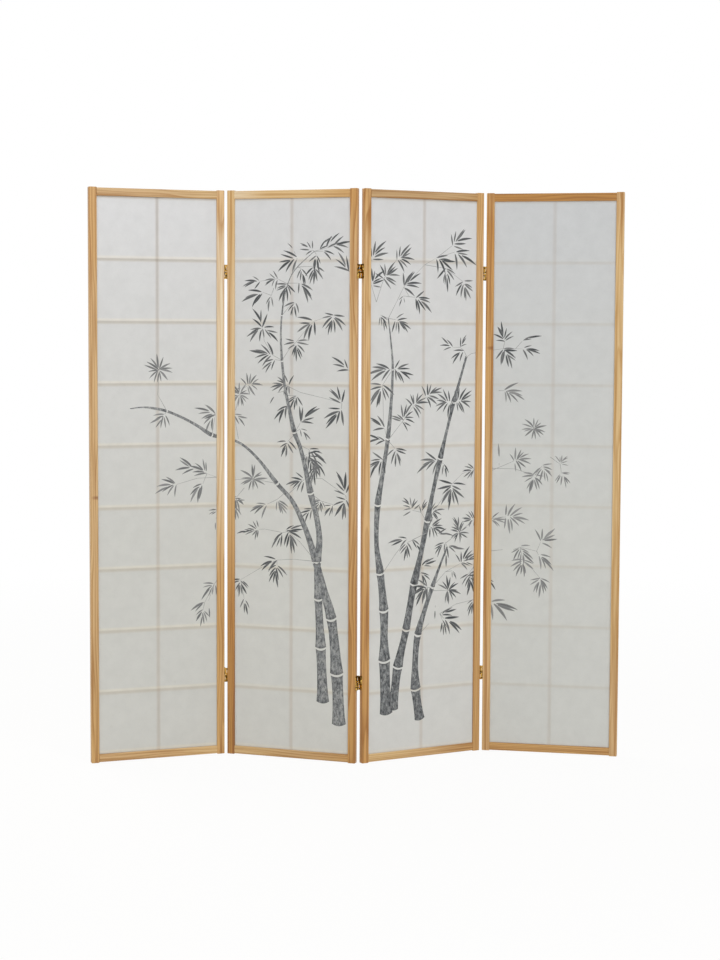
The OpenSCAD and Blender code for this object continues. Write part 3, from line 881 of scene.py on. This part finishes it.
# studio: white floor, soft lamps over the front and from high at the left behind the paper. The
# floor is lifted towards white for the camera, fully so from "far" on.
studio = {
    "floor": "#F5F1E8", "floorSize": 60.0, "floorDrop": 0.0005, "worldLight": 0.64,
    "lift": 0.93, "liftFar": 1.0, "near": 1.5, "far": 5.0,
}
lamps = {   # place, what it aims at, its two sizes, watts
    "keyLamp": ((4.6, -7.0, 5.0), (0, 0, 1.0), (3.0, 2.4), 198),
    "fillLamp": ((-1.1, -1.3, 2.9), (-0.5, 0, 1.5), (1.2, 0.8), 8),
    "backLamp": ((-1.6, 1.1, 3.0), (-0.45, 0, 1.5), (1.4, 0.8), 24),
}


def seenDirectly(tree):
    # camera rays, and what metal and glass mirror
    rays = addNode(tree, "ShaderNodeLightPath").outputs
    seen = calc(tree, "MAXIMUM", rays["Is Camera Ray"], rays["Is Glossy Ray"])
    return calc(tree, "MAXIMUM", seen, rays["Is Transmission Ray"])


def whiteFloor():
    deselectAll()
    bpy.ops.mesh.primitive_plane_add(size=studio["floorSize"], location=(0, 0, -studio["floorDrop"]))
    floor = bpy.context.object
    floor.name = "floor"
    material, tree = newMaterial("matWhiteFloor")
    away = calcVector(tree, "LENGTH", objectPlace(tree))
    lift = mapped(tree, away, studio["near"], studio["far"], studio["lift"], studio["liftFar"])
    shown = calc(tree, "MULTIPLY", seenDirectly(tree), lift)
    lit = addNode(tree, "ShaderNodeBsdfDiffuse", {"Color": hexColor(studio["floor"])})
    white = addNode(tree, "ShaderNodeEmission", {"Color": grey(1), "Strength": 1.0})
    mixed = addNode(tree, "ShaderNodeMixShader", {0: shown, 1: lit.outputs[0], 2: white.outputs[0]})
    dress(floor, surfaced(material, tree, mixed))


def whiteWorld():
    world = bpy.data.worlds.new("studioWorld")
    bpy.context.scene.world = world
    world.use_nodes = True
    tree = world.node_tree
    tree.nodes.clear()
    strength = mapped(tree, seenDirectly(tree), 0.0, 1.0, studio["worldLight"], 1.0)
    background = addNode(tree, "ShaderNodeBackground", {"Color": grey(1), "Strength": strength})
    addNode(tree, "ShaderNodeOutputWorld", {"Surface": background.outputs[0]})


def softLamp(name, place, aim, size, power):
    data = bpy.data.lights.new(name, "AREA")
    data.shape = "RECTANGLE"
    data.size, data.size_y = size
    data.energy = power
    lamp = addObject(name, data)
    lamp.location = place
    lamp.rotation_mode = "QUATERNION"
    lamp.rotation_quaternion = (Vector(aim) - Vector(place)).to_track_quat("-Z", "Y")


whiteFloor()
whiteWorld()
for name, (place, aim, size, power) in lamps.items():
    softLamp(name, place, aim, size, power)
print("studio lit")


# camera where the photograph was taken: 6.3 m in front, at 1.37 m, looking a little down
view = {"place": (0.0065, -6.3409, 1.3673), "down": 4.364, "roll": 0.268, "focalPx": 2015.5,
        "longSidePx": 960, "sensorMm": 36.0, "clip": (0.05, 200)}


def photoCamera():
    data = bpy.data.cameras.new("photoCamera")
    data.sensor_width = view["sensorMm"]
    data.lens = view["focalPx"] * view["sensorMm"] / view["longSidePx"]
    data.clip_start, data.clip_end = view["clip"]
    camera = addObject("photoCamera", data)
    down, roll = math.radians(view["down"]), math.radians(view["roll"])
    forward = Vector((0, math.cos(down), -math.sin(down)))
    up = Vector((0, math.sin(down), math.cos(down)))
    right = Vector((1, 0, 0))
    tiltedRight = right * math.cos(roll) + up * math.sin(roll)
    tiltedUp = up * math.cos(roll) - right * math.sin(roll)
    turned = Matrix((tiltedRight, tiltedUp, -forward)).transposed()
    camera.matrix_world = Matrix.Translation(view["place"]) @ turned.to_4x4()
    bpy.context.scene.camera = camera


photoCamera()
bpy.context.scene.view_settings.view_transform = "Standard"
